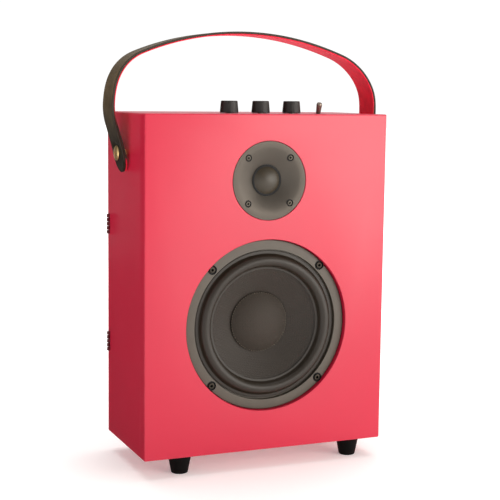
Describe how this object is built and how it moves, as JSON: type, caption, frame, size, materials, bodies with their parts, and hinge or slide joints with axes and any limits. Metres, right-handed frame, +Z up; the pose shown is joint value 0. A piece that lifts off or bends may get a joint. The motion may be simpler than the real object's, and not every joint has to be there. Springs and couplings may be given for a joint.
{
  "type": "guitar amplifier",
  "caption": "Small portable guitar amplifier: red box cabinet, woofer and dome tweeter, top knobs and toggle, leather carrying strap, cone feet, hinged back door.",
  "frame": {"origin": "on the floor under the middle of the cabinet, midway between front and back", "axes": "front faces -Y, +X to the right seen from the front, +Z up"},
  "size_m": [0.2752, 0.118, 0.4157],
  "materials": {
    "cabinet_paint": "satin red paint over filled wood board",
    "speaker_frame": "matte grey powder coat",
    "tweeter_plate": "matte anodised, grey",
    "surround_rubber": "soft satin rubber",
    "woven_cone": "coarse woven, stiffened",
    "dome_silk": "doped silk, satin",
    "spider_cloth": "resin-set cloth",
    "coil_wire": "enamelled copper wire on a former",
    "motor_steel": "zinc plated",
    "magnet_ferrite": "raw ferrite",
    "screw_black": "black oxide",
    "knob_plastic": "soft-touch with a faint satin",
    "strap_leather": "olive brown grain, dark waxed edges",
    "lining_leather": "red lining hide",
    "brass_hardware": "polished brass",
    "plated_steel": "nickel plated",
    "foot_rubber": "turned, matte black",
    "hinge_black": "black lacquered",
    "circuit_board": "green solder mask",
    "battery_wrap": "blue shrink wrap",
    "socket_plastic": "moulded black"
  },
  "bodies": {
    "cabinet": {"front_baffle": "cabinet_paint", "left_side_panel": "cabinet_paint", "right_side_panel": "cabinet_paint", "top_panel": "cabinet_paint", "bottom_panel": "cabinet_paint", "foot_front_left": "foot_rubber", "foot_front_right": "foot_rubber", "foot_rear_left": "foot_rubber", "foot_rear_right": "foot_rubber", "hinge_lower_frame_leaf": "hinge_black", "hinge_upper_frame_leaf": "hinge_black", "catch_magnet": "hinge_black", "woofer_basket": "speaker_frame", "woofer_surround": "surround_rubber", "woofer_spider": "spider_cloth", "woofer_top_plate": "motor_steel", "woofer_magnet": "magnet_ferrite", "woofer_pole": "motor_steel", "tweeter_faceplate": "tweeter_plate", "tweeter_magnet": "magnet_ferrite", "woofer_screw_1": "screw_black", "tweeter_screw_1": "screw_black", "woofer_screw_2": "screw_black", "tweeter_screw_2": "screw_black", "woofer_screw_3": "screw_black", "tweeter_screw_3": "screw_black", "woofer_screw_4": "screw_black", "tweeter_screw_4": "screw_black", "knob_left_pot": "plated_steel", "knob_middle_pot": "plated_steel", "knob_right_pot": "plated_steel", "toggle_body": "plated_steel", "toggle_nut": "plated_steel", "control_board": "circuit_board", "handle_screw_right": "brass_hardware", "handle_nut_right": "plated_steel", "handle_screw_left": "brass_hardware", "handle_nut_left": "plated_steel", "amplifier_board": "circuit_board", "battery_pack": "battery_wrap", "crossover_board": "circuit_board", "input_jack": "socket_plastic", "power_socket": "socket_plastic"},
    "handle": {"handle_strap": "strap_leather", "handle_lining": "lining_leather"},
    "rear_door": {"rear_door": "cabinet_paint", "hinge_lower_door_leaf": "hinge_black", "hinge_upper_door_leaf": "hinge_black", "catch_plate": "plated_steel"},
    "toggle": {"toggle_lever": "plated_steel"},
    "woofer_diaphragm": {"woofer_cone": "woven_cone", "woofer_dust_cap": "woven_cone", "woofer_voice_coil": "coil_wire"},
    "tweeter_diaphragm": {"tweeter_dome": "dome_silk"},
    "knob_left": {"knob_left": "knob_plastic", "knob_left_shaft": "plated_steel"},
    "knob_middle": {"knob_middle": "knob_plastic", "knob_middle_shaft": "plated_steel"},
    "knob_right": {"knob_right": "knob_plastic", "knob_right_shaft": "plated_steel"}
  },
  "joints": [
    {"name": "handle_swing", "type": "hinge", "parent": "cabinet", "child": "handle", "pos_m": [0, 0, 0.3008], "axis": [1, 0, 0], "range_deg": [-100, 100]},
    {"name": "door_open", "type": "hinge", "parent": "cabinet", "child": "rear_door", "pos_m": [-0.1241, 0.05285, 0.1788], "axis": [0, 0, 1], "range_deg": [0, 110]},
    {"name": "toggle_flip", "type": "hinge", "parent": "cabinet", "child": "toggle", "pos_m": [0.0598, -0.035, 0.3348], "axis": [1, 0, 0], "range_deg": [-30, 0]},
    {"name": "knob_left_turn", "type": "hinge", "parent": "cabinet", "child": "knob_left", "pos_m": [-0.032, -0.035, 0.3388], "axis": [0, 0, 1], "range_deg": [-150, 150]},
    {"name": "knob_middle_turn", "type": "hinge", "parent": "cabinet", "child": "knob_middle", "pos_m": [0, -0.035, 0.3388], "axis": [0, 0, 1], "range_deg": [-150, 150]},
    {"name": "knob_right_turn", "type": "hinge", "parent": "cabinet", "child": "knob_right", "pos_m": [0.032, -0.035, 0.3388], "axis": [0, 0, 1], "range_deg": [-150, 150]},
    {"name": "woofer_stroke", "type": "slide", "parent": "cabinet", "child": "woofer_diaphragm", "axis": [0, 1, 0], "range_m": [-0.004, 0.004], "stiffness_N_per_m": 1500, "deforming": ["woofer_surround", "woofer_spider"]},
    {"name": "tweeter_stroke", "type": "slide", "parent": "cabinet", "child": "tweeter_diaphragm", "axis": [0, 1, 0], "range_m": [-0.0005, 0.0005], "stiffness_N_per_m": 6000}
  ]
}
